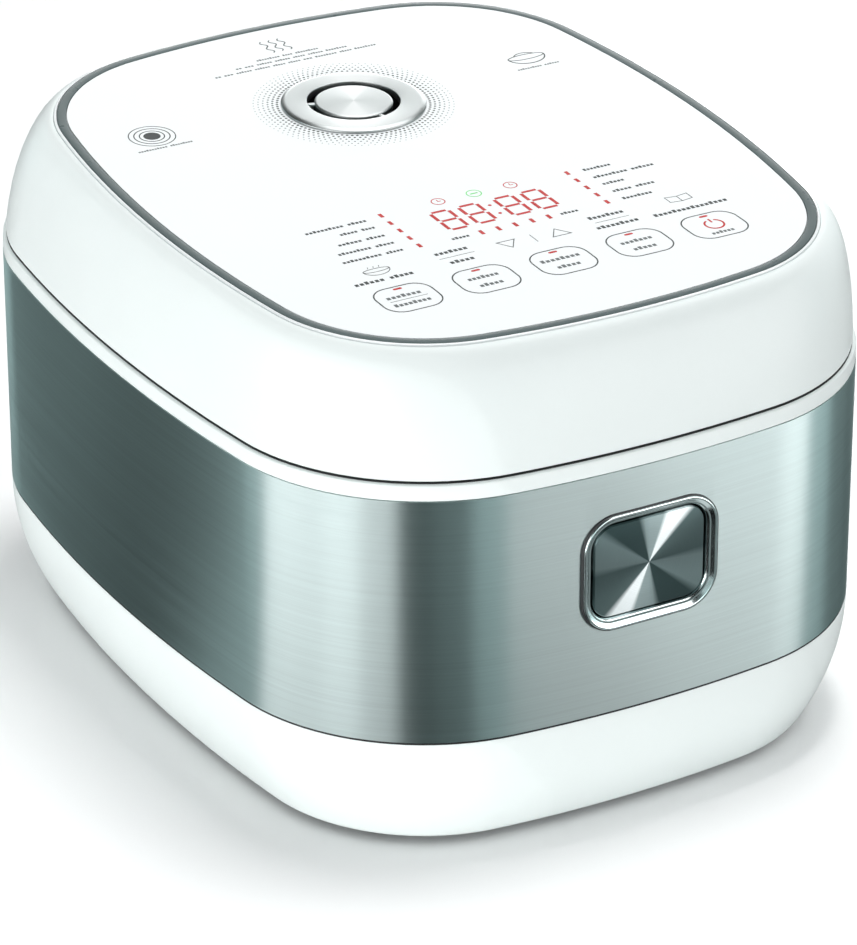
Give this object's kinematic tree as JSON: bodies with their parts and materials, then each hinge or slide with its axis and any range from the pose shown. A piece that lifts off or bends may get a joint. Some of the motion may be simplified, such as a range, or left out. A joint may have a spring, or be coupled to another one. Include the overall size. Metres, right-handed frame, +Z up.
{
  "type": "rice cooker",
  "caption": "Induction rice cooker: white base and domed hinged lid, brushed steel band, square front release button, tilted touch panel and round steam vent.",
  "frame": {"origin": "on the floor, under the middle of the body", "axes": "+Z up, +Y towards the hinge at the back, +X to the cooker's left-hand side as it faces away, so the front button faces -Y"},
  "size_m": [0.29, 0.369, 0.2295],
  "materials": {
    "gloss_white": "gloss",
    "panel_white": "high gloss",
    "grey_trim": "satin",
    "brushed_steel": "horizontal brushed grain",
    "chrome": "polished",
    "spun_steel": "radially spun",
    "button_metal": "radially spun, dark",
    "aluminium": "satin",
    "pot_coating": "dark non-stick coating",
    "copper": "enamelled copper wire",
    "ferrite": "sintered",
    "black_plastic": "matt",
    "grey_plastic": "matt",
    "circuit_board": "solder mask",
    "silicone": "translucent silicone",
    "foot_rubber": "matt",
    "display_red": "lit red segments behind a smoked filter",
    "spring_steel": "bright wire"
  },
  "bodies": {
    "base": {"base_housing": "gloss_white", "bottom_cover": "grey_plastic", "foot_fl": "foot_rubber", "foot_fr": "foot_rubber", "foot_rl": "foot_rubber", "foot_rr": "foot_rubber", "base_screw_1": "spring_steel", "base_screw_2": "spring_steel", "base_screw_3": "spring_steel", "base_screw_4": "spring_steel", "steel_band": "brushed_steel", "top_deck": "gloss_white", "hinge_pin": "spring_steel", "inner_pot": "pot_coating", "pot_well": "aluminium", "coil_carrier": "black_plastic", "coil_inner": "copper", "coil_outer": "copper", "ferrite_1": "ferrite", "ferrite_2": "ferrite", "ferrite_3": "ferrite", "ferrite_4": "ferrite", "sensor_guide": "black_plastic", "sensor_spring": "spring_steel", "fan_frame": "black_plastic", "power_board": "circuit_board", "heat_sink": "aluminium", "filter_capacitor": "display_red", "choke_coil": "copper", "power_inlet": "black_plastic", "button_bezel": "chrome", "button_spring": "spring_steel", "latch_bracket": "grey_plastic", "latch_pin": "spring_steel"},
    "lid": {"lid_shell": "gloss_white", "lid_liner": "gloss_white", "top_panel": "panel_white", "panel_strip": "grey_trim", "vent_cup": "grey_plastic", "steam_tube": "silicone", "inner_lid": "aluminium", "lid_gasket": "silicone", "inner_lid_knob": "black_plastic", "latch_striker": "spring_steel", "display_board": "circuit_board", "digit_module": "display_red", "led_bar_left": "display_red", "led_bar_right": "display_red", "led_bar_low": "display_red", "touch_pad_1": "black_plastic", "touch_pad_2": "black_plastic", "touch_pad_3": "black_plastic", "touch_pad_4": "black_plastic", "touch_pad_5": "black_plastic"},
    "vent": {"vent_cap": "spun_steel", "vent_disc": "spun_steel"},
    "fan": {"fan_rotor": "black_plastic"},
    "sensor": {"sensor_cap": "aluminium"},
    "button": {"front_button": "button_metal"},
    "latch": {"latch_lever": "grey_plastic"}
  },
  "joints": [
    {"name": "lid_hinge", "type": "hinge", "parent": "base", "child": "lid", "pos_m": [0, 0.174, 0.1715], "axis": [-1, 0, 0], "range_deg": [0, 85]},
    {"name": "vent_lift", "type": "slide", "parent": "lid", "child": "vent", "axis": [0, -0.031, 0.9995], "range_m": [0, 0.025]},
    {"name": "fan_spin", "type": "hinge", "parent": "base", "child": "fan", "pos_m": [-0.04, 0.127, 0.018], "axis": [0, 0, 1], "continuous": true},
    {"name": "sensor_press", "type": "slide", "parent": "base", "child": "sensor", "axis": [0, 0, 1], "range_m": [-0.0025, 0], "stiffness_N_per_m": 400, "springref_m": 0.004, "deforming": ["sensor_spring"]},
    {"name": "button_press", "type": "slide", "parent": "base", "child": "button", "axis": [0, 1, 0], "range_m": [0, 0.004], "stiffness_N_per_m": 700, "springref_m": -0.003, "deforming": ["button_spring"]},
    {"name": "latch_rock", "type": "hinge", "parent": "base", "child": "latch", "pos_m": [0, -0.158, 0.141], "axis": [1, 0, 0], "range_deg": [0, 9.8]}
  ],
  "couplings": [
    {"joint": "latch_rock", "follows": "button_press", "rad_per_m": 42.5}
  ]
}
